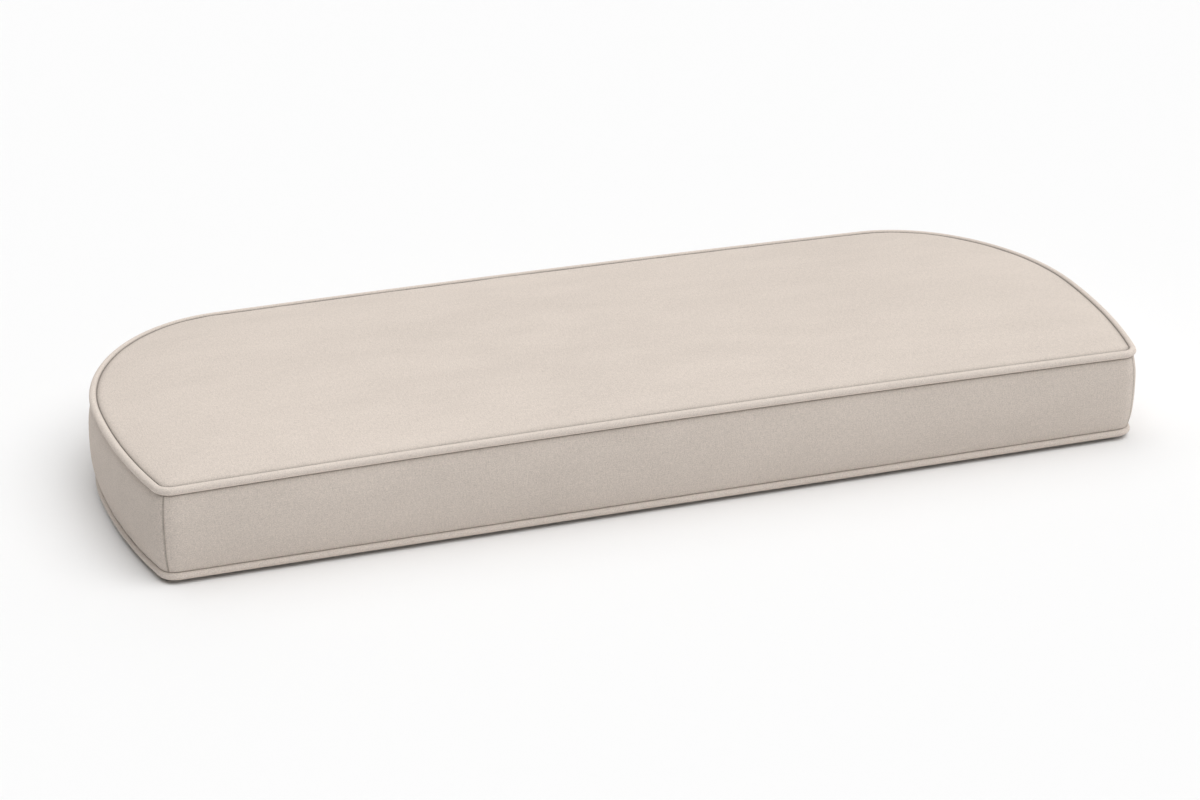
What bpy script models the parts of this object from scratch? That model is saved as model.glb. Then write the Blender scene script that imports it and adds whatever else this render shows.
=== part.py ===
# Bench cushion: a filled boxed cushion with a piped seam round its top edge and another round its bottom.
# Metres, +Z up. +X runs along the bench, the straight front edge faces -Y, and the cushion lies on z = 0.
import math

import bpy

# Plan, measured on the centre line of the piping
FRONT_LENGTH = 1.005
DEPTH = 0.3985
END_REACH = 0.1594
END_DEPTH_BEHIND = 0.2038
END_DEPTH_AHEAD = 0.3535
CORNER_RADIUS = 0.016

# Edge height at the front corners, and how much higher the upper edge stands in mid-length
EDGE_HEIGHT = 0.0997
EDGE_BOW = 0.0040

# Piping, which the full underside holds a little off the surface
CORD_RADIUS = 0.0040
CORD_LIFT = 0.0040
GAP = 0.0003
CORD_SIDES = 10

# Where the cloth leaves the piping, as an angle round the cord in degrees: 0 points outwards and 90 up
BAND_LEAVES_LOWER = 80
BAND_LEAVES_UPPER = 280
TOP_PANEL_LEAVES = 150
UNDERSIDE_LEAVES = 208
GROOVE_STEPS = 5

# Boxing band: how far it stands out beyond the piping's centre line, and the height's share at each ring.
# It bulges a little less beside the upright seams of the front corners.
BAND_BULGE = 0.0066
BAND_FOOT = 0.0012
BAND_FULLNESS = 3.0
BAND_SHARES = (0.05, 0.13, 0.25, 0.38, 0.5, 0.62, 0.75, 0.87, 0.95)
SEAM_DEPTH = 0.0009
SEAM_HALF_WIDTH = 0.0013
SEAM_HOLD = 0.20
HOLD_REACH = 0.035

# Top panel: a quick rise beside the piping, then a gentle crown up to a level line along the middle
PANEL_ROLL = 0.0040
PANEL_ROLL_REACH = 0.0080
ROLL_INSETS = (0.0062, 0.0085, 0.0120)
PANEL_CROWN = 0.0065
CROWN_FULLNESS = 2.6
CROWN_SHARES = (0.95, 0.88, 0.78, 0.64, 0.48, 0.30, 0.12)
LEVEL_LINE_INSET = 0.18

# Underside: from the flat face outwards, the share of the way from the middle, then the inset, with heights
UNDERSIDE_SHARES = ((0.93, 0.0), (0.97, 0.0012))
UNDERSIDE_INSETS = ((0.0120, 0.0031), (0.0085, 0.0044), (0.0062, 0.0054))

# Number of steps along each stretch of the plan, for one half
FRONT_STEPS = 16
CORNER_STEPS = 8
END_STEPS = 30
BACK_STEPS = 9

FABRIC = (0.62, 0.54, 0.45, 1.0)


def end_point(t):
    """A point of the left end and its outward direction, for the angle t of its two quarter ellipses."""
    centre_y = DEPTH - END_DEPTH_BEHIND
    low = math.asin(centre_y / END_DEPTH_AHEAD)
    centre_x = -FRONT_LENGTH / 2 + END_REACH * math.cos(low)
    reach_y = END_DEPTH_AHEAD if t < 0 else END_DEPTH_BEHIND
    nx, ny = -math.cos(t) / END_REACH, math.sin(t) / reach_y
    size = math.hypot(nx, ny)
    x = centre_x - END_REACH * math.cos(t)
    return x, centre_y + reach_y * math.sin(t), nx / size, ny / size


def corner_angle():
    """The angle at which the rounded front corner runs into the end."""
    low, high = -math.asin((DEPTH - END_DEPTH_BEHIND) / END_DEPTH_AHEAD), 0.0
    for _ in range(50):
        middle = (low + high) / 2
        _, y, _, ny = end_point(middle)
        if y - CORNER_RADIUS * ny < CORNER_RADIUS:
            low = middle
        else:
            high = middle
    return (low + high) / 2


def left_half():
    """Columns (x, y, nx, ny, seam) from mid-front, round the left end, to the middle of the back."""
    touch = corner_angle()
    x, y, nx, ny = end_point(touch)
    centre = (x - CORNER_RADIUS * nx, y - CORNER_RADIUS * ny)
    columns = []
    for i in range(FRONT_STEPS):
        columns.append((centre[0] * i / FRONT_STEPS, 0.0, 0.0, -1.0, 0.0))
    last = math.atan2(nx, -ny)
    turns = [(last * i / CORNER_STEPS, 0.0) for i in range(CORNER_STEPS)]
    # The upright seam of the band runs down the middle of the corner
    side = SEAM_HALF_WIDTH / CORNER_RADIUS
    turns[CORNER_STEPS // 2] = (last / 2, 1.0)
    turns += [(last / 2 - side, 0.0), (last / 2 + side, 0.0)]
    for turn, seam in sorted(turns, reverse=True):
        dx, dy = math.sin(turn), -math.cos(turn)
        columns.append((centre[0] + CORNER_RADIUS * dx, centre[1] + CORNER_RADIUS * dy, dx, dy, seam))
    for i in range(END_STEPS):
        columns.append((*end_point(touch + (math.pi / 2 - touch) * i / END_STEPS), 0.0))
    start = end_point(math.pi / 2)[0]
    for i in range(BACK_STEPS + 1):
        columns.append((start * (1 - i / BACK_STEPS), DEPTH, 0.0, 1.0, 0.0))
    return columns


def plan_columns():
    """The whole plan, anticlockwise from above, with the front at -DEPTH / 2."""
    left = left_half()
    right = [(-x, y, -nx, ny, seam) for x, y, nx, ny, seam in left]
    whole = right + left[-2:0:-1]
    return [(x, y - DEPTH / 2, nx, ny, seam) for x, y, nx, ny, seam in whole]


def bow(x):
    """How much higher the upper edge stands at x than at the front corners."""
    return EDGE_BOW * (1 - min(1.0, abs(x) / (FRONT_LENGTH / 2)) ** 2)


def held_flat(x, y):
    """How much the seam of the nearer front corner keeps the band from bulging, from 0 to 1."""
    away = math.hypot(FRONT_LENGTH / 2 - abs(x), y + DEPTH / 2)
    return SEAM_HOLD * math.exp(-((away / HOLD_REACH) ** 2))


def groove(centre_z, first, last):
    """(offset, z) of the channel that holds the piping, from angle first to last in degrees."""
    radius = CORD_RADIUS + GAP
    points = []
    for i in range(GROOVE_STEPS + 1):
        angle = math.radians(first + (last - first) * i / GROOVE_STEPS)
        points.append((radius * math.cos(angle), centre_z + radius * math.sin(angle)))
    return points


def body_profile():
    """(offset, z, share of the bow, on the band) from the rim of the underside to that of the top panel."""
    rows = [(-inset, z, 0.0, False) for inset, z in UNDERSIDE_INSETS]
    lower = groove(CORD_RADIUS + CORD_LIFT, UNDERSIDE_LEAVES, BAND_LEAVES_LOWER)
    upper = groove(EDGE_HEIGHT - CORD_RADIUS, BAND_LEAVES_UPPER, TOP_PANEL_LEAVES)
    rows += [(offset, z, 0.0, False) for offset, z in lower]
    foot, head = lower[-1][1], upper[0][1]
    for share in BAND_SHARES:
        swell = (1 - abs(2 * share - 1) ** BAND_FULLNESS) * (BAND_BULGE - BAND_FOOT)
        rows.append((BAND_FOOT + swell, foot + (head - foot) * share, share, True))
    rows += [(offset, z, 1.0, False) for offset, z in upper]
    edge_offset, edge_z = upper[-1]
    for inset in ROLL_INSETS:
        rise = PANEL_ROLL * (1 - math.exp(-(inset + edge_offset) / PANEL_ROLL_REACH))
        rows.append((-inset, edge_z + rise, 1.0, False))
    return rows


def towards_middle(ring, share, height):
    """The ring drawn in towards a level line along the middle, with height giving each new z."""
    half_line = FRONT_LENGTH / 2 - LEVEL_LINE_INSET
    drawn = []
    for x, y, z in ring:
        middle_x = max(-half_line, min(half_line, x))
        drawn.append((middle_x + (x - middle_x) * share, y * share, height(z)))
    return drawn


def body_rings(columns):
    rings = []
    for offset, z, share, on_band in body_profile():
        ring = []
        for x, y, nx, ny, seam in columns:
            reach = offset
            if on_band:
                reach -= (offset - BAND_FOOT) * held_flat(x, y) + SEAM_DEPTH * seam
            ring.append((x + reach * nx, y + reach * ny, z + share * bow(x)))
        rings.append(ring)
    crest = EDGE_HEIGHT + EDGE_BOW + PANEL_CROWN
    edge = rings[-1]
    for share in CROWN_SHARES:
        rise = 1 - share**CROWN_FULLNESS
        rings.append(towards_middle(edge, share, lambda z: z + (crest - z) * rise))
    level = sum(z for _, _, z in rings[-1]) / len(rings[-1])
    rings[-1] = [(x, y, level) for x, y, _ in rings[-1]]
    rim = rings[0]
    under = [towards_middle(rim, share, lambda _: height) for share, height in UNDERSIDE_SHARES]
    return under + rings


def material():
    made = bpy.data.materials.new("beige_fabric")
    made.diffuse_color = FABRIC
    made.use_nodes = True
    shader = made.node_tree.nodes["Principled BSDF"]
    shader.inputs["Base Color"].default_value = FABRIC
    shader.inputs["Roughness"].default_value = 0.9
    return made


def add(name, points, faces, fabric):
    mesh = bpy.data.meshes.new(name)
    mesh.from_pydata(points, [], faces)
    mesh.validate()
    mesh.polygons.foreach_set("use_smooth", [True] * len(mesh.polygons))
    mesh.materials.append(fabric)
    obj = bpy.data.objects.new(name, mesh)
    bpy.context.scene.collection.objects.link(obj)
    return obj


def walls(rings, count, closed):
    faces = []
    last = rings if closed else rings - 1
    for k in range(last):
        low, high = k * count, (k + 1) % rings * count
        for i in range(count):
            j = (i + 1) % count
            faces.append((low + i, low + j, high + j, high + i))
    return faces


def cushion_body(columns, fabric):
    rings = body_rings(columns)
    count = len(columns)
    faces = walls(len(rings), count, False)
    faces.append(tuple(reversed(range(count))))
    top = (len(rings) - 1) * count
    faces.append(tuple(range(top, top + count)))
    return add("cushion_body", [point for ring in rings for point in ring], faces, fabric)


def piping(name, columns, centre_z, share, fabric):
    rings = []
    for k in range(CORD_SIDES):
        angle = 2 * math.pi * k / CORD_SIDES
        out, up = CORD_RADIUS * math.cos(angle), CORD_RADIUS * math.sin(angle)
        level = centre_z + up
        rings.append([(x + out * nx, y + out * ny, level + share * bow(x)) for x, y, nx, ny, _ in columns])
    faces = walls(CORD_SIDES, len(columns), True)
    return add(name, [point for ring in rings for point in ring], faces, fabric)


def build():
    for obj in list(bpy.data.objects):
        bpy.data.objects.remove(obj)
    fabric = material()
    columns = plan_columns()
    cushion_body(columns, fabric)
    piping("top_piping", columns, EDGE_HEIGHT - CORD_RADIUS, 1.0, fabric)
    piping("bottom_piping", columns, CORD_RADIUS + CORD_LIFT, 0.0, fabric)


build()
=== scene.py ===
# Bench cushion: the cover as cloth over its filling, the two piped edges, a plain floor and soft light.
# Metres, +Z up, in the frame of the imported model. Surfaces are procedural.
import math

import bpy
import numpy as np
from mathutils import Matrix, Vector, noise
from mathutils.kdtree import KDTree


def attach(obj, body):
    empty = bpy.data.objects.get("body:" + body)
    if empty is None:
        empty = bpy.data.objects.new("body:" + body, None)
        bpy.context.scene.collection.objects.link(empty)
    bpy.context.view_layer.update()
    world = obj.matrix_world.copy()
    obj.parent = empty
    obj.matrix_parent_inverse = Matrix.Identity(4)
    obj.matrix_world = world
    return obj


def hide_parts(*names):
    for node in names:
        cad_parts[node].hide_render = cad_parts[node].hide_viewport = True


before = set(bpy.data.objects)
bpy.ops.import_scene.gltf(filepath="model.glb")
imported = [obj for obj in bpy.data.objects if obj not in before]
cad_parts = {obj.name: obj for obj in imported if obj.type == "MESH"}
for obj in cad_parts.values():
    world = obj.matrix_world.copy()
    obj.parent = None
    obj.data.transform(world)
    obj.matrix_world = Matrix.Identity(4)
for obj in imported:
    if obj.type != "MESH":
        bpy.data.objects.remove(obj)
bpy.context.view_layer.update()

# Plan, measured on the centre line of the piping
FRONT_LENGTH = 1.005
DEPTH = 0.3985
END_REACH = 0.1594
END_DEPTH_BEHIND = 0.2038
END_DEPTH_AHEAD = 0.3535
CORNER_RADIUS = 0.016

# Edge height at the front corners, and how much higher the upper edge stands in mid-length
EDGE_HEIGHT = 0.0997
EDGE_BOW = 0.0040

# Piping, which the full underside holds a little off the surface
CORD_RADIUS = 0.0040
CORD_LIFT = 0.0040
GAP = 0.0003
CORD_SIDES = 32
UPPER_CORD_Z = EDGE_HEIGHT - CORD_RADIUS
LOWER_CORD_Z = CORD_RADIUS + CORD_LIFT

# Where the cloth leaves the piping, as an angle round the cord in degrees: 0 points outwards and 90 up
BAND_LEAVES_LOWER = 80
BAND_LEAVES_UPPER = 280
TOP_PANEL_LEAVES = 150
UNDERSIDE_LEAVES = 208
GROOVE_STEPS = 9

# Boxing band: how far it stands out beyond the piping's centre line in mid-height and beside the piping,
# and how full the curve between them is
BAND_BULGE = 0.0066
BAND_FOOT = 0.0012
BAND_FULLNESS = 3.0
BAND_STEPS = 24

# Upright seam at each front corner: a valley between two ridges, whose place is in widths of the seam
# and whose height is a share of its depth. It keeps the band beside it from bulging, by a share that
# fades with its reach.
SEAM_DEPTH = 0.0009
SEAM_WIDTH = 0.0008
RIDGE_PLACE = 2.2
RIDGE_SHARE = 0.35
SEAM_HOLD = 0.20
HOLD_REACH = 0.035

# Top panel: a quick rise beside the piping, then a gentle crown up to a level line along the middle. Its
# rings crowd towards the piping, by the powers given as spacing.
PANEL_ROLL = 0.0040
PANEL_ROLL_REACH = 0.0080
ROLL_REACH = 0.0120
ROLL_STEPS = 6
ROLL_SPACING = 1.4
PANEL_CROWN = 0.0065
CROWN_FULLNESS = 2.6
PANEL_STEPS = 34
PANEL_SPACING = 1.15
INNERMOST_SHARE = 0.02
LEVEL_LINE_INSET = 0.18

# Underside, from the flat face outwards: shares of the way from the middle, then insets, with heights
UNDERSIDE_SHARES = ((0.03, 0.0), (0.25, 0.0), (0.5, 0.0), (0.75, 0.0), (0.93, 0.0), (0.97, 0.0012))
UNDERSIDE_INSETS = ((0.0120, 0.0031), (0.0085, 0.0044), (0.0062, 0.0054))

# Steps along each stretch of one half of the plan, and how strongly a corner's steps crowd to its seam
FRONT_STEPS = 86
CORNER_STEPS = 20
END_STEPS = 78
BACK_STEPS = 58
CORNER_CROWDING = 0.65

# Settling: the coarse grid and the number of its points that carry a point of the cover, the pressure of
# the filling, the frames, and how far a point may move from its cut shape
SETTLE_GRID = 0.011
CARRIERS = 8
PRESSURE = 4.0
SETTLE_FRAMES = 20
SETTLE_QUALITY = 5
MOST_MOVE = 0.0026

# Cloth: its stiffness, how much larger than its place it is cut on the band and on the panels, how near
# the piping it is held, and between which distances from the piping it comes free. Cloth whose normal
# rises less than STEEP is on the band.
CLOTH_MASS = 0.3
STRETCH_STIFFNESS = 30
SHEAR_STIFFNESS = 10
BENDING_STIFFNESS = 1.0
BAND_SPARE_CLOTH = 0.008
PANEL_SPARE_CLOTH = 0.001
HELD_REACH = 0.012
SEAM_FADE = (0.006, 0.022)
STEEP = 0.5

# Small gathers beside the piping, with finer ones among them as shares of their length and height, and
# the uneven lie of the cloth further off, whose waves are shifted so that they don't follow the gathers
GATHER_HEIGHT = 0.00045
GATHER_LENGTH = 0.021
GATHER_REACH = 0.013
FINE_GATHER_LENGTH = 0.45
FINE_GATHER_HEIGHT = 0.5
WAVE_HEIGHT = 0.0005
WAVE_LENGTH = 0.075
WAVE_SHIFT = (7.1, 3.3, 1.7)

# Cloth of the cover and of the piping: its colour, the turn of its weave, how uneven the dye is, and how
# much its threads show. The piping is cut on the bias.
COVER_CLOTH = ((0.688, 0.610, 0.545), 0.0, 0.12, 0.26)
# The piping's colour is set lighter than the cover's as a painted highlight on the round cord
PIPING_CLOTH = ((0.738, 0.656, 0.588), math.pi / 4, 0.08, 0.22)

# Surface of the cloth: matt, with the warm sheen of a brushed nap
ROUGHNESS = 0.88
GLOSS = 0.25
SHEEN = 0.18
SHEEN_ROUGHNESS = 0.45
SHEEN_TINT = (1.0, 0.86, 0.74, 1.0)

# Layers of the dye and nap: how each is stretched, how fine it is and how detailed
CLOUDS = ((0.6, 1.2, 1.2), 8.0, 3.0)
BLOTCHES = ((0.5, 1.1, 1.1), 34.0, 3.0)
UPRIGHT_THREADS = ((1, 0.35, 1), 500.0, 2.0)
LEVEL_THREADS = ((0.35, 1, 1), 460.0, 2.0)
GRAIN = ((1, 1, 1), 900.0, 1.0)

# How much the blotches show, as a share of the clouds, and each finer layer, as a share of the threads
BLOTCH_SHARE = 0.75
UPRIGHT_SHARE = 0.85
LEVEL_SHARE = 0.6
GRAIN_SHARE = 2.3

# Weave: two threads' width, how far they stand out, how wavy they run, and what the weave and the grain
# add to the relief of the upright threads
THREAD_PAIR = 0.0012
THREAD_HEIGHT = 0.00025
THREAD_WAVINESS = 3.0
WEAVE_RELIEF = 0.25
GRAIN_RELIEF = 0.6
RELIEF_STRENGTH = 0.8

# Painted shade in the creases: how much darker the cloth is painted where a panel meets the piping, how
# fast that fades on the panel and elsewhere, and the share of it on the band's side and in the upright
# seams
SEAM_SHADE = 0.80
PANEL_SHADE_REACH = 0.0016
SHADE_REACH = 0.0009
BAND_SHADE = 0.35
UPRIGHT_SHADE = 0.45

# Floor, wide enough for its far edge not to show
FLOOR_SIZE = 400
FLOOR_COLOUR = (0.9, 0.9, 0.9, 1.0)

# Light: the dome's level, the way it brightens and its least level, then the strength of each soft box,
# with its tilt from upright and its turn from +X in degrees, and how wide it spreads
DOME_LEVEL = 0.273
DOME_LEAN = (0.233, 0.04, 0.0)
DOME_LEAST = 0.02
SOFT_BOXES = {
    "key": (1.39, 30, 315),
    "overhead": (0.73, 0, 0),
    "rim": (0.54, 30, 135),
    "back": (0.25, 50, 77),
}
BOX_SPREAD = 50

# Camera, from the perspective of the piped edges, with its lens and sensor in millimetres
LENS = 85.4
SENSOR_WIDTH = 36
CAMERA_YAW = math.radians(-18.867)
CAMERA_PITCH = math.radians(24.238)
CAMERA_DISTANCE = 2.9105
CAMERA_AIM = (-0.0236, -0.0453, 0.0543)


def end_point(t):
    """A point of the left end and its outward direction, for the angle t of its two quarter ellipses."""
    centre_y = DEPTH - END_DEPTH_BEHIND
    low = math.asin(centre_y / END_DEPTH_AHEAD)
    centre_x = -FRONT_LENGTH / 2 + END_REACH * math.cos(low)
    reach_y = END_DEPTH_AHEAD if t < 0 else END_DEPTH_BEHIND
    nx, ny = -math.cos(t) / END_REACH, math.sin(t) / reach_y
    size = math.hypot(nx, ny)
    x = centre_x - END_REACH * math.cos(t)
    return x, centre_y + reach_y * math.sin(t), nx / size, ny / size


def corner_angle():
    """The angle at which the rounded front corner runs into the end."""
    low, high = -math.asin((DEPTH - END_DEPTH_BEHIND) / END_DEPTH_AHEAD), 0.0
    for _ in range(50):
        middle = (low + high) / 2
        _, y, _, ny = end_point(middle)
        if y - CORNER_RADIUS * ny < CORNER_RADIUS:
            low = middle
        else:
            high = middle
    return (low + high) / 2


def left_half():
    """Columns (x, y, nx, ny) from mid-front, round the left end, to the middle of the back."""
    touch = corner_angle()
    x, y, nx, ny = end_point(touch)
    centre = (x - CORNER_RADIUS * nx, y - CORNER_RADIUS * ny)
    columns = [(centre[0] * i / FRONT_STEPS, 0.0, 0.0, -1.0) for i in range(FRONT_STEPS)]
    last = math.atan2(nx, -ny)
    for i in range(CORNER_STEPS):
        even = 2 * i / CORNER_STEPS - 1
        turn = last * (1 + (1 - CORNER_CROWDING) * even + CORNER_CROWDING * even**3) / 2
        dx, dy = math.sin(turn), -math.cos(turn)
        columns.append((centre[0] + CORNER_RADIUS * dx, centre[1] + CORNER_RADIUS * dy, dx, dy))
    for i in range(END_STEPS):
        columns.append(end_point(touch + (math.pi / 2 - touch) * i / END_STEPS))
    start = end_point(math.pi / 2)[0]
    for i in range(BACK_STEPS + 1):
        columns.append((start * (1 - i / BACK_STEPS), DEPTH, 0.0, 1.0))
    return columns


def plan_columns():
    """The plan, anticlockwise from above, the distance along it, and the places of its upright seams."""
    left = left_half()
    right = [(-x, y, -nx, ny) for x, y, nx, ny in left]
    whole = np.array(right + left[-2:0:-1])
    whole[:, 1] -= DEPTH / 2
    steps = np.linalg.norm(np.roll(whole[:, :2], -1, axis=0) - whole[:, :2], axis=1)
    along = np.concatenate([[0.0], np.cumsum(steps)])
    seam_right = along[FRONT_STEPS + CORNER_STEPS // 2]
    seams = (seam_right, along[-1] - seam_right)
    return whole, along, seams


def bow(x):
    """How much higher the upper edge stands at x than at the front corners."""
    return EDGE_BOW * (1 - np.minimum(1.0, np.abs(x) / (FRONT_LENGTH / 2)) ** 2)


def held_flat(x, y):
    """How much the seam of the nearer front corner keeps the band from bulging, from 0 to 1."""
    away = np.hypot(FRONT_LENGTH / 2 - np.abs(x), y + DEPTH / 2)
    return SEAM_HOLD * np.exp(-((away / HOLD_REACH) ** 2))


def groove(centre_z, first, last):
    """(offset, z) of the channel that holds the piping, from angle first to last in degrees."""
    angles = np.radians(np.linspace(first, last, GROOVE_STEPS + 1))
    radius = CORD_RADIUS + GAP
    return [(radius * math.cos(a), centre_z + radius * math.sin(a)) for a in angles]


def body_profile():
    """(offset, z, share of the bow, kind) from the flat underside up to the edge of the top panel."""
    rows = [(-inset, z, 0.0, "underside") for inset, z in UNDERSIDE_INSETS]
    lower = groove(LOWER_CORD_Z, UNDERSIDE_LEAVES, BAND_LEAVES_LOWER)
    upper = groove(UPPER_CORD_Z, BAND_LEAVES_UPPER, TOP_PANEL_LEAVES)
    rows += [(offset, z, 0.0, "groove") for offset, z in lower]
    foot, head = lower[-1][1], upper[0][1]
    for i in range(1, BAND_STEPS):
        share = (1 - math.cos(math.pi * i / BAND_STEPS)) / 2
        swell = (1 - abs(2 * share - 1) ** BAND_FULLNESS) * (BAND_BULGE - BAND_FOOT)
        rows.append((BAND_FOOT + swell, foot + (head - foot) * share, share, "band"))
    rows += [(offset, z, 1.0, "groove") for offset, z in upper]
    edge_offset, edge_z = upper[-1]
    for i in range(1, ROLL_STEPS + 1):
        inset = -edge_offset + (ROLL_REACH + edge_offset) * (i / ROLL_STEPS) ** ROLL_SPACING
        rise = PANEL_ROLL * (1 - math.exp(-(inset + edge_offset) / PANEL_ROLL_REACH))
        rows.append((-inset, edge_z + rise, 1.0, "panel"))
    return rows


def towards_middle(ring, share):
    """The ring drawn in towards a level line along the middle."""
    half_line = FRONT_LENGTH / 2 - LEVEL_LINE_INSET
    middle_x = np.clip(ring[:, 0], -half_line, half_line)
    return np.column_stack([middle_x + (ring[:, 0] - middle_x) * share, ring[:, 1] * share, ring[:, 2]])


def cover_rings(columns):
    """Rings of points from the middle of the underside to the middle of the top, and the kind of each."""
    x, y, nx, ny = columns.T
    rings, kinds = [], []
    hold = held_flat(x, y)
    for offset, z, share, kind in body_profile():
        if kind == "band":
            offset = offset - (offset - BAND_FOOT) * hold
        rings.append(np.column_stack([x + offset * nx, y + offset * ny, z + share * bow(x)]))
        kinds.append(kind)
    rim, edge = rings[0], rings[-1]
    crest = EDGE_HEIGHT + EDGE_BOW + PANEL_CROWN
    for i in range(1, PANEL_STEPS + 1):
        share = 1 - (1 - INNERMOST_SHARE) * (i / PANEL_STEPS) ** PANEL_SPACING
        ring = towards_middle(edge, share)
        ring[:, 2] += (crest - ring[:, 2]) * (1 - share**CROWN_FULLNESS)
        rings.append(ring)
        kinds.append("panel")
    for share, z in reversed(UNDERSIDE_SHARES):
        ring = towards_middle(rim, share)
        ring[:, 2] = z
        rings.insert(0, ring)
        kinds.insert(0, "underside")
    return rings, kinds


def ring_faces(rings, count, closed):
    faces = []
    for k in range(rings if closed else rings - 1):
        low, high = k * count, (k + 1) % rings * count
        for i in range(count):
            j = (i + 1) % count
            faces.append((low + i, low + j, high + j, high + i))
    return faces


def middle_strip(ring):
    """Triangles of point numbers that close a long narrow ring, from its right tip to its left."""
    count = len(ring)
    back = front = int(np.argmax(ring[:, 0]))
    triangles = []
    for _ in range(count - 2):
        next_back, next_front = (back + 1) % count, (front - 1) % count
        if back == front or ring[next_back, 0] >= ring[next_front, 0]:
            if back == front:
                back, next_back = next_back, (next_back + 1) % count
            triangles.append((front, back, next_back))
            back = next_back
        else:
            triangles.append((front, back, next_front))
            front = next_front
    return triangles


def new_object(name, points, faces, material):
    mesh = bpy.data.meshes.new(name)
    mesh.from_pydata([tuple(p) for p in points], [], faces)
    mesh.polygons.foreach_set("use_smooth", [True] * len(mesh.polygons))
    mesh.materials.append(material)
    obj = bpy.data.objects.new(name, mesh)
    bpy.context.scene.collection.objects.link(obj)
    return obj


def smooth_step(value, start, end):
    t = np.clip((value - start) / (end - start), 0.0, 1.0)
    return t * t * (3 - 2 * t)


def near_piping(points, columns):
    """Distance of each point from the nearer piping's centre line."""
    tree = KDTree(len(columns))
    for i, column in enumerate(columns):
        tree.insert((column[0], column[1], 0.0), i)
    tree.balance()
    nearest = np.array([tree.find((p[0], p[1], 0.0))[1] for p in points])
    x, y, nx, ny = columns[nearest].T
    offset = (points[:, 0] - x) * nx + (points[:, 1] - y) * ny
    upper = points[:, 2] - (UPPER_CORD_Z + bow(x))
    lower = points[:, 2] - LOWER_CORD_Z
    return np.hypot(offset, np.where(np.abs(upper) < np.abs(lower), upper, lower))


def points_of(mesh):
    flat = np.empty(len(mesh.vertices) * 3, np.float32)
    mesh.vertices.foreach_get("co", flat)
    return flat.reshape(-1, 3).astype(float)


def even_copy(cover):
    """A coarse copy of the cover with an even grid, for settling."""
    copy = bpy.data.objects.new("settling", cover.data.copy())
    bpy.context.scene.collection.objects.link(copy)
    remesh = copy.modifiers.new("even", "REMESH")
    remesh.mode = "VOXEL"
    remesh.voxel_size = SETTLE_GRID
    graph = bpy.context.evaluated_depsgraph_get()
    mesh = bpy.data.meshes.new_from_object(copy.evaluated_get(graph))
    copy.modifiers.remove(remesh)
    copy.data = mesh
    return copy


def group(obj, name, chosen):
    made = obj.vertex_groups.new(name=name)
    made.add([int(i) for i in np.flatnonzero(chosen)], 1.0, "REPLACE")


def pressed_out(obj, columns):
    """How far each point moves when the filling presses the cloth out between its seams."""
    rest = points_of(obj.data)
    on_floor = rest[:, 2] < SETTLE_GRID / 3
    upright = np.abs([v.normal.z for v in obj.data.vertices]) < STEEP
    group(obj, "held", (near_piping(rest, columns) < HELD_REACH) | on_floor)
    group(obj, "roomy", upright)
    modifier = obj.modifiers.new("settle", "CLOTH")
    cloth = modifier.settings
    cloth.quality = SETTLE_QUALITY
    cloth.mass = CLOTH_MASS
    cloth.tension_stiffness = cloth.compression_stiffness = STRETCH_STIFFNESS
    cloth.shear_stiffness = SHEAR_STIFFNESS
    cloth.bending_stiffness = BENDING_STIFFNESS
    cloth.effector_weights.gravity = 0
    cloth.use_pressure = True
    cloth.uniform_pressure_force = PRESSURE
    cloth.vertex_group_mass = "held"
    cloth.vertex_group_shrink = "roomy"
    cloth.shrink_min = -PANEL_SPARE_CLOTH
    cloth.shrink_max = -BAND_SPARE_CLOTH
    scene = bpy.context.scene
    scene.frame_start, scene.frame_end = 1, SETTLE_FRAMES
    modifier.point_cache.frame_start, modifier.point_cache.frame_end = 1, SETTLE_FRAMES
    for step in range(1, SETTLE_FRAMES + 1):
        scene.frame_set(step)
    graph = bpy.context.evaluated_depsgraph_get()
    moved = points_of(obj.evaluated_get(graph).data) - rest
    obj.modifiers.remove(modifier)
    scene.frame_set(1)
    size = np.linalg.norm(moved, axis=1, keepdims=True)
    return rest, moved * MOST_MOVE * np.tanh(size / MOST_MOVE) / np.maximum(size, 1e-9)


def settle(cover, columns, free):
    """Settles a coarse copy as cloth, and moves the cover's free points with it."""
    copy = even_copy(cover)
    rest, moved = pressed_out(copy, columns)
    tree = KDTree(len(rest))
    for i, p in enumerate(rest):
        tree.insert(p, i)
    tree.balance()
    points = points_of(cover.data)
    carried = np.zeros_like(points)
    for i in np.flatnonzero(free > 0):
        near = tree.find_n(points[i], CARRIERS)
        weights = np.array([math.exp(-((n[2] / SETTLE_GRID) ** 2)) + 1e-6 for n in near])
        carried[i] = weights @ moved[[n[1] for n in near]] / weights.sum()
    bpy.data.objects.remove(copy)
    return points + carried * free[:, None]


def gathers(points, normals, distance, free):
    """Small uneven gathers where the cloth runs into the piping, and long soft waves further off."""
    beside = np.exp(-distance / GATHER_REACH)
    rise = np.empty(len(points))
    for i, p in enumerate(points):
        at = Vector(p)
        fine = noise.noise(at / (FINE_GATHER_LENGTH * GATHER_LENGTH))
        gather = noise.noise(at / GATHER_LENGTH) + FINE_GATHER_HEIGHT * fine
        wave = noise.noise(at / WAVE_LENGTH + Vector(WAVE_SHIFT))
        rise[i] = GATHER_HEIGHT * beside[i] * gather + WAVE_HEIGHT * (1 - beside[i]) * wave
    return points + normals * (rise * free)[:, None]


def upright_seams(points, normals, ring_along, seams, band):
    """The band's seams at the front corners: a narrow valley between two low ridges."""
    for seam in seams:
        off = (ring_along - seam) / SEAM_WIDTH
        valley = -SEAM_DEPTH * np.exp(-(off**2))
        ridges = RIDGE_SHARE * SEAM_DEPTH * np.exp(-((np.abs(off) - RIDGE_PLACE) ** 2))
        points = points + normals * ((valley + ridges) * band)[:, None]
    return points


def strip_map(low, high):
    """Map points of one ring of faces, from those of its lower and its upper edge."""
    return np.stack([low[:-1], low[1:], high[1:], high[:-1]], axis=1).reshape(-1, 2)


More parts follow.
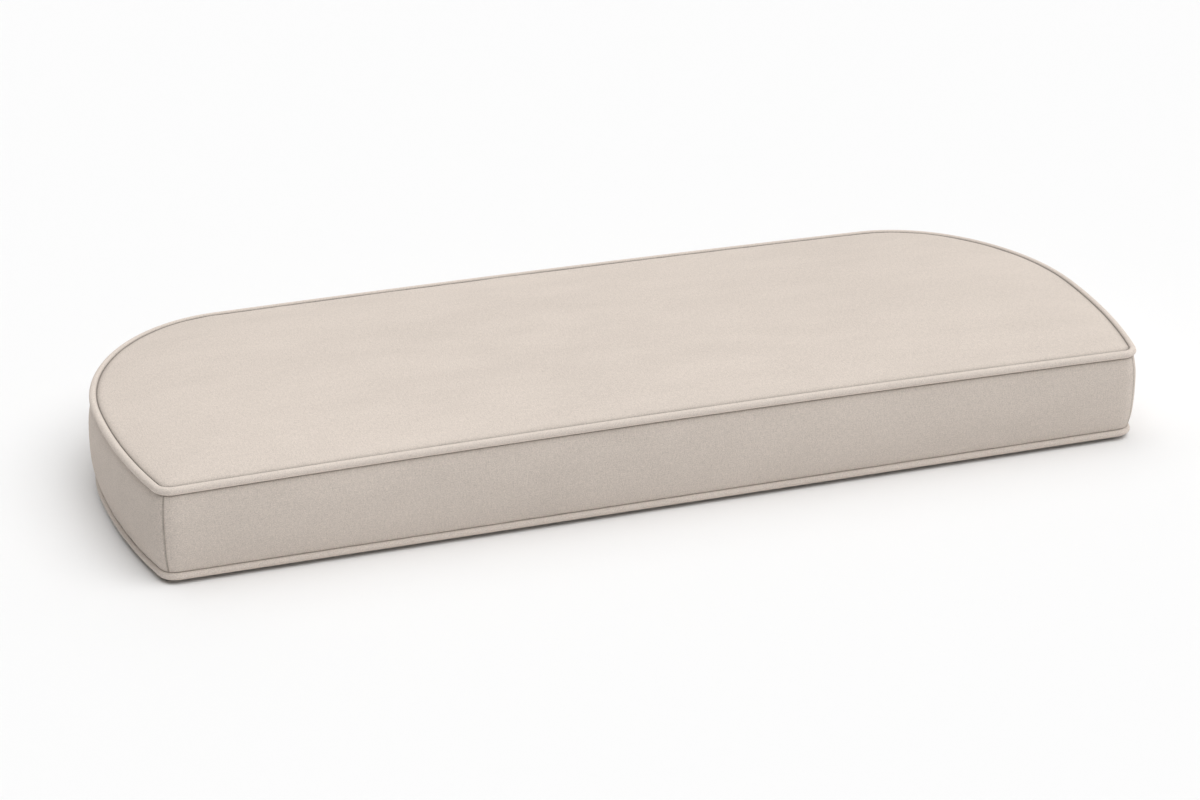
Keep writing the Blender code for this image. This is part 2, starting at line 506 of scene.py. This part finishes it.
def lay_map(obj, strips):
    """Lays the cloth's map on the faces, in their order."""
    layer = obj.data.uv_layers.new(name="cloth")
    layer.data.foreach_set("uv", np.concatenate(strips).astype(np.float32).ravel())


def paint_crease_shade(obj, beside):
    """Stores how much painted shade each point takes from a nearby crease, from 0 to 1."""
    shade = obj.data.attributes.new("painted_seam_shade", "FLOAT", "POINT")
    shade.data.foreach_set("value", beside.astype(np.float32))


def map_cover(obj, rings, along, kinds, middle):
    """UV map in metres of cloth: along and up on the band, and straight down on the panels."""
    count = len(along) - 1
    flat = np.array(rings)
    up = np.concatenate([[0.0], np.cumsum(np.linalg.norm(np.diff(flat[:, 0], axis=0), axis=1))])
    wrapped = np.concatenate([flat, flat[:, :1]], axis=1)[:, :, :2]
    strips = []
    for k in range(len(rings) - 1):
        if kinds[k] == "band" or kinds[k + 1] == "band":
            low = np.column_stack([along, np.full(count + 1, up[k])])
            high = np.column_stack([along, np.full(count + 1, up[k + 1])])
        else:
            low, high = wrapped[k], wrapped[k + 1]
        strips.append(strip_map(low, high))
    strips.append(flat[0, ::-1, :2])
    strips.append(flat[-1, np.ravel(middle), :2])
    lay_map(obj, strips)


def painted_crease_shade(distance, kind, ring_along, seams):
    """Painted shade of the cover: how near each point is to the crease beside the piping or in an upright
    seam.
    """
    reach = np.where(kind == "panel", PANEL_SHADE_REACH, SHADE_REACH)
    beside = np.exp(-np.maximum(distance - CORD_RADIUS, 0) / reach)
    beside[kind == "band"] *= BAND_SHADE
    for seam in seams:
        off = (ring_along - seam) / SEAM_WIDTH
        beside = np.maximum(beside, UPRIGHT_SHADE * (kind == "band") * np.exp(-(off**2)))
    return beside


def cushion_cover(columns, along, seams, material):
    """The filled cover: both panels and the band, settled as cloth, with its gathers and upright seams."""
    rings, kinds = cover_rings(columns)
    count = len(columns)
    faces = ring_faces(len(rings), count, False)
    faces.append(tuple(reversed(range(count))))
    middle = middle_strip(rings[-1])
    last = (len(rings) - 1) * count
    faces += [(last + i, last + j, last + k) for i, j, k in middle]
    obj = new_object("cushion_cover", np.concatenate(rings), faces, material)
    map_cover(obj, rings, along, kinds, middle)
    kind = np.repeat(kinds, count)
    points = points_of(obj.data)
    distance = near_piping(points, columns)
    cloth = ((kind == "band") | (kind == "panel")).astype(float)
    points = settle(obj, columns, cloth * smooth_step(distance, *SEAM_FADE))
    normals = np.empty(len(points) * 3, np.float32)
    obj.data.vertices.foreach_get("normal", normals)
    normals = normals.reshape(-1, 3)
    points = gathers(points, normals, distance, cloth)
    ring_along = np.tile(along[:-1], len(rings))
    points = upright_seams(points, normals, ring_along, seams, (kind == "band") * 1.0)
    obj.data.vertices.foreach_set("co", points.astype(np.float32).ravel())
    obj.data.update()
    # Painted shade in the creases beside the piping and in the upright seams
    paint_crease_shade(obj, painted_crease_shade(distance, kind, ring_along, seams))
    return obj


def piping(name, columns, along, centre_z, share, creases, material):
    """A closed cord with painted shade in its creases, which are given as angles in degrees and how dark
    each is.
    """
    x, y, nx, ny = columns.T
    rings = []
    for k in range(CORD_SIDES):
        angle = 2 * math.pi * k / CORD_SIDES
        out, up = CORD_RADIUS * math.cos(angle), CORD_RADIUS * math.sin(angle)
        rings.append(np.column_stack([x + out * nx, y + out * ny, centre_z + up + share * bow(x)]))
    obj = new_object(name, np.concatenate(rings), ring_faces(CORD_SIDES, len(columns), True), material)
    girth = 2 * math.pi * CORD_RADIUS / CORD_SIDES
    strips = []
    for k in range(CORD_SIDES):
        low = np.column_stack([along, np.full(len(along), k * girth)])
        strips.append(strip_map(low, low + (0.0, girth)))
    lay_map(obj, strips)
    # Painted shade on the cord, fading round it from each crease
    angles = 360 * np.arange(CORD_SIDES) / CORD_SIDES
    beside = np.zeros(CORD_SIDES)
    for crease, amount in creases:
        away = np.radians(np.abs((angles - crease + 180) % 360 - 180)) * CORD_RADIUS
        beside = np.maximum(beside, amount * np.exp(-away / SHADE_REACH))
    paint_crease_shade(obj, np.repeat(beside, len(columns)))
    return obj


class Nodes:
    """Short names for making and joining a material's nodes."""

    def __init__(self, tree):
        self.tree = tree

    def new(self, kind, **settings):
        node = self.tree.nodes.new("ShaderNode" + kind)
        for key, value in settings.items():
            setattr(node, key, value)
        return node

    def link(self, source, target):
        self.tree.links.new(source, target)

    def math(self, operation, *values):
        node = self.new("Math", operation=operation)
        for socket, value in zip(node.inputs, values):
            if isinstance(value, (int, float)):
                socket.default_value = value
            else:
                self.link(value, socket)
        return node.outputs[0]

    def stretched_noise(self, source, stretch, fineness, detail):
        mapping = self.new("Mapping")
        mapping.inputs["Scale"].default_value = stretch
        self.link(source, mapping.inputs["Vector"])
        made = self.new("TexNoise")
        made.inputs["Scale"].default_value = fineness
        made.inputs["Detail"].default_value = detail
        self.link(mapping.outputs[0], made.inputs["Vector"])
        return made.outputs["Fac"]


def fabric(name, colour, turn, mottle, threads):
    """Brushed cotton cloth: plain weave turned by an angle, uneven dye, and painted shade beside the
    seams.
    """
    material = bpy.data.materials.new(name)
    material.use_nodes = True
    nodes = Nodes(material.node_tree)
    shader = material.node_tree.nodes["Principled BSDF"]
    shader.inputs["Roughness"].default_value = ROUGHNESS
    shader.inputs["Specular IOR Level"].default_value = GLOSS
    shader.inputs["Sheen Weight"].default_value = SHEEN
    shader.inputs["Sheen Tint"].default_value = SHEEN_TINT
    shader.inputs["Sheen Roughness"].default_value = SHEEN_ROUGHNESS
    place = nodes.new("TexCoord").outputs["Object"]
    flat = nodes.new("UVMap", uv_map="cloth").outputs["UV"]
    turned = nodes.new("Mapping")
    turned.inputs["Rotation"].default_value = (0, 0, turn)
    nodes.link(flat, turned.inputs["Vector"])
    flat = turned.outputs[0]

    # Uneven dye and nap, from broad clouds to single threads, each layer about its mean of a half
    clouds = nodes.stretched_noise(place, *CLOUDS)
    blotches = nodes.stretched_noise(place, *BLOTCHES)
    upright = nodes.stretched_noise(flat, *UPRIGHT_THREADS)
    level = nodes.stretched_noise(flat, *LEVEL_THREADS)
    grain = nodes.stretched_noise(flat, *GRAIN)
    finer = (
        (blotches, BLOTCH_SHARE * mottle),
        (upright, UPRIGHT_SHARE * threads),
        (level, LEVEL_SHARE * threads),
        (grain, GRAIN_SHARE * threads),
    )
    tone = nodes.math("MULTIPLY", nodes.math("SUBTRACT", clouds, 0.5), mottle)
    for layer, amount in finer:
        tone = nodes.math("MULTIPLY_ADD", nodes.math("SUBTRACT", layer, 0.5), amount, tone)
    # Painted shade in the creases beside the piping and in the upright seams
    shade = nodes.new("Attribute", attribute_name="painted_seam_shade").outputs["Fac"]
    tone = nodes.math("MULTIPLY_ADD", shade, -SEAM_SHADE, tone)
    tone = nodes.math("ADD", tone, 1.0)
    painted = nodes.new("VectorMath", operation="SCALE")
    painted.inputs[0].default_value = colour
    nodes.link(tone, painted.inputs["Scale"])
    nodes.link(painted.outputs[0], shader.inputs["Base Color"])

    # Plain weave, its threads a little wavy
    parts = nodes.new("SeparateXYZ")
    nodes.link(flat, parts.inputs[0])
    wobble = nodes.math("MULTIPLY", blotches, THREAD_WAVINESS)
    waves = []
    for axis in ("X", "Y"):
        angle = nodes.math("MULTIPLY_ADD", parts.outputs[axis], 2 * math.pi / THREAD_PAIR, wobble)
        waves.append(nodes.math("SINE", angle))
    weave = nodes.math("MULTIPLY", waves[0], waves[1])
    nap = nodes.math("ADD", upright, nodes.math("MULTIPLY", grain, GRAIN_RELIEF))
    height = nodes.math("MULTIPLY_ADD", weave, WEAVE_RELIEF, nap)
    bump = nodes.new("Bump")
    bump.inputs["Strength"].default_value = RELIEF_STRENGTH
    bump.inputs["Distance"].default_value = THREAD_HEIGHT
    nodes.link(height, bump.inputs["Height"])
    nodes.link(bump.outputs[0], shader.inputs["Normal"])
    return material


def floor():
    bpy.ops.mesh.primitive_plane_add(size=FLOOR_SIZE, location=(0, 0, 0))
    plane = bpy.context.object
    plane.name = "floor"
    material = bpy.data.materials.new("pale_floor")
    material.use_nodes = True
    shader = material.node_tree.nodes["Principled BSDF"]
    shader.inputs["Base Color"].default_value = FLOOR_COLOUR
    shader.inputs["Roughness"].default_value = 1.0
    shader.inputs["Specular IOR Level"].default_value = 0.0
    plane.data.materials.append(material)


def light():
    """A soft dome, brighter to the right, and broad soft boxes above, the strongest at the front right."""
    world = bpy.data.worlds.new("studio")
    bpy.context.scene.world = world
    world.use_nodes = True
    nodes = Nodes(world.node_tree)
    direction = nodes.new("TexCoord").outputs["Generated"]
    lean = nodes.new("VectorMath", operation="DOT_PRODUCT")
    lean.inputs[1].default_value = DOME_LEAN
    nodes.link(direction, lean.inputs[0])
    level = nodes.math("MAXIMUM", nodes.math("ADD", lean.outputs["Value"], DOME_LEVEL), DOME_LEAST)
    nodes.link(level, world.node_tree.nodes["Background"].inputs["Strength"])
    world.node_tree.nodes["Background"].inputs["Color"].default_value = (1, 1, 1, 1)
    for name, (strength, tilt, turn) in SOFT_BOXES.items():
        sun = bpy.data.lights.new(name, "SUN")
        sun.energy = strength
        sun.angle = math.radians(BOX_SPREAD)
        box = bpy.data.objects.new(name, sun)
        bpy.context.scene.collection.objects.link(box)
        box.rotation_euler = (0, math.radians(tilt), math.radians(turn))


def camera():
    data = bpy.data.cameras.new("camera")
    data.sensor_width = SENSOR_WIDTH
    data.lens = LENS
    obj = bpy.data.objects.new("camera", data)
    bpy.context.scene.collection.objects.link(obj)
    ahead = (
        -math.sin(CAMERA_YAW) * math.cos(CAMERA_PITCH),
        math.cos(CAMERA_YAW) * math.cos(CAMERA_PITCH),
        -math.sin(CAMERA_PITCH),
    )
    obj.location = [aim - CAMERA_DISTANCE * step for aim, step in zip(CAMERA_AIM, ahead)]
    obj.rotation_euler = (math.pi / 2 - CAMERA_PITCH, 0, CAMERA_YAW)
    bpy.context.scene.camera = obj


def build():
    columns, along, seams = plan_columns()
    cover_cloth = fabric("cover_cloth", *COVER_CLOTH)
    piping_cloth = fabric("piping_cloth", *PIPING_CLOTH)
    cover = cushion_cover(columns, along, seams, cover_cloth)
    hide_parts("cushion_body")
    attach(cover, "root")
    # Painted shade in each piping's creases: full on the panel's side, weaker on the band's
    creases = ((TOP_PANEL_LEAVES, 1.0), (BAND_LEAVES_UPPER, BAND_SHADE))
    upper = piping("upper_piping", columns, along, UPPER_CORD_Z, 1.0, creases, piping_cloth)
    creases = ((UNDERSIDE_LEAVES, 1.0), (BAND_LEAVES_LOWER, BAND_SHADE))
    lower = piping("lower_piping", columns, along, LOWER_CORD_Z, 0.0, creases, piping_cloth)
    for piece, node in ((upper, "top_piping"), (lower, "bottom_piping")):
        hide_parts(node)
        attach(piece, "root")
    floor()
    light()
    camera()


bpy.context.scene.view_settings.view_transform = "Standard"
build()
